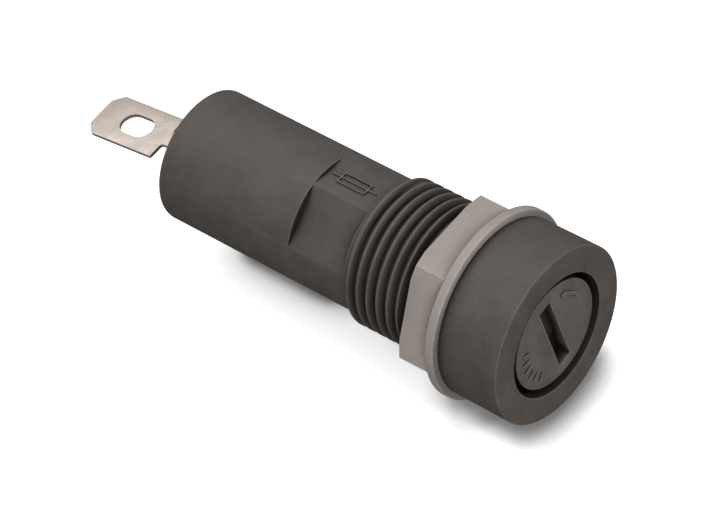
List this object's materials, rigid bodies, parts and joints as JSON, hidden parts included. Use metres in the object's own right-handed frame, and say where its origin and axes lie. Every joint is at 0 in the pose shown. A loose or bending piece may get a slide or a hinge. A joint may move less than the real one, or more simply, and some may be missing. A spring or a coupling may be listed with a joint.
{
  "type": "cartridge fuse holder",
  "caption": "Panel-mounted round fuse holder: threaded barrel, hex nut and washer, slotted bayonet cap, sprung contacts and two blade terminals, holding a small glass cartridge fuse.",
  "frame": {"origin": "middle of the panel seat, in the plane of the back of the bezel, on the barrel's axis", "axes": "+Y along the barrel from the bezel to the rear terminal, +Z square to the rear terminal's neck, +X to the right seen from the front"},
  "size_m": [0.0162, 0.0477, 0.0162],
  "materials": {
    "black_plastic": "matte dark warm grey moulded thermoplastic, fine pitted skin",
    "cap_plastic": "matte dark warm grey moulded thermoplastic, smooth face with raised marks",
    "grey_plastic": "light warm grey moulded plastic, satin",
    "tinned_brass": "tin-plated brass strip, dull and slightly pink",
    "bare_brass": "turned and drawn brass, satin",
    "nickel_cap": "nickel-plated brass end cap",
    "spring_steel": "drawn spring wire",
    "fuse_glass": "clear glass tube",
    "solder": "dull tin solder"
  },
  "bodies": {
    "holder": {"holder_body": "black_plastic", "contact_sleeve": "tinned_brass", "side_terminal": "tinned_brass", "side_rivet": "bare_brass", "contact_cup": "bare_brass", "contact_spring": "spring_steel", "rear_terminal": "tinned_brass"},
    "washer": {"flange_washer": "grey_plastic"},
    "nut": {"mounting_nut": "grey_plastic"},
    "fuse_carrier": {"fuse_clip": "tinned_brass", "cap_spring": "spring_steel", "fuse_front_cap": "nickel_cap", "fuse_glass_tube": "fuse_glass", "fuse_rear_cap": "nickel_cap", "fuse_solder_front": "solder", "fuse_solder_rear": "solder", "fuse_element": "spring_steel"},
    "thrust_disc": {"cap_thrust_disc": "bare_brass"},
    "cap": {"carrier_cap": "cap_plastic"},
    "plunger": {"contact_plunger": "bare_brass"}
  },
  "joints": [
    {"name": "nut_travel", "type": "slide", "parent": "holder", "child": "washer", "axis": [0, 1, 0], "range_m": [0, 0.006]},
    {"name": "nut_turn", "type": "hinge", "parent": "washer", "child": "nut", "pos_m": [0, 0.002, 0], "axis": [0, 1, 0], "range_deg": [0, 2160]},
    {"name": "carrier_withdraw", "type": "slide", "parent": "holder", "child": "fuse_carrier", "axis": [0, -1, 0], "range_m": [0, 0.034]},
    {"name": "cap_press", "type": "slide", "parent": "fuse_carrier", "child": "thrust_disc", "axis": [0, 1, 0], "range_m": [0, 0.0005], "stiffness_N_per_m": 400, "springref_m": -0.001, "deforming": ["cap_spring"]},
    {"name": "cap_turn", "type": "hinge", "parent": "thrust_disc", "child": "cap", "pos_m": [0, -0.003, 0], "axis": [0, -1, 0], "range_deg": [0, 90]},
    {"name": "contact_press", "type": "slide", "parent": "holder", "child": "plunger", "axis": [0, 1, 0], "range_m": [0, 0.0012], "stiffness_N_per_m": 600, "springref_m": -0.0015, "deforming": ["contact_spring"]}
  ],
  "couplings": [
    {"joint": "nut_turn", "follows": "nut_travel", "rad_per_m": 6283.2}
  ]
}
